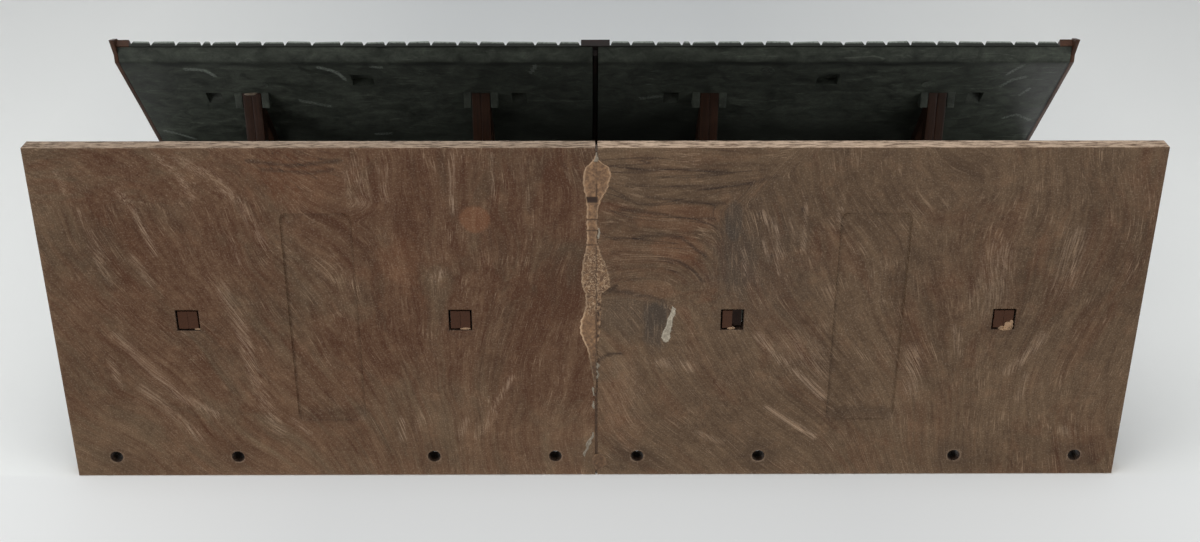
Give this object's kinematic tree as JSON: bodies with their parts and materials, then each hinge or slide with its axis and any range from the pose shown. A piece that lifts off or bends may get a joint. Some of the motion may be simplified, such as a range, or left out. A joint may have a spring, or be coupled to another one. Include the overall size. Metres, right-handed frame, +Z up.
{
  "type": "model railway covered platform",
  "caption": "Covered island platform for a model railway: thick moulded base, split posts that carry roof trusses, and a pitched shingle canopy with verge boards and ridge caps.",
  "frame": {"origin": "middle of the base's underside, where the two plates meet", "axes": "+X along the platform, +Y across it towards the edge with the peg holes, +Z up to the ridge"},
  "size_m": [0.6062, 0.2076, 0.273],
  "materials": {
    "base_brown": "structural foam moulding with flow marks",
    "dried_glue": "dried glue",
    "post_red_brown": "moulded wood grain",
    "roof_green_grey": "moulded shingles",
    "trim_brown": "moulded wood grain"
  },
  "bodies": {
    "root": {"base_plate_left": "base_brown", "base_plate_right": "base_brown", "joint_glue": "dried_glue", "frame_1_left_half": "post_red_brown", "frame_1_right_half": "post_red_brown", "frame_2_left_half": "post_red_brown", "frame_2_right_half": "post_red_brown", "frame_3_left_half": "post_red_brown", "frame_3_right_half": "post_red_brown", "frame_4_left_half": "post_red_brown", "frame_4_right_half": "post_red_brown", "roof_panel_left_front": "roof_green_grey", "roof_panel_left_back": "roof_green_grey", "roof_panel_right_front": "roof_green_grey", "roof_panel_right_back": "roof_green_grey", "verge_trim_left_front": "trim_brown", "verge_trim_left_back": "trim_brown", "verge_trim_right_front": "trim_brown", "verge_trim_right_back": "trim_brown", "roof_joint_strip_front": "trim_brown", "roof_joint_strip_back": "trim_brown", "ridge_cap_left": "trim_brown", "ridge_cap_right": "trim_brown"}
  },
  "joints": []
}
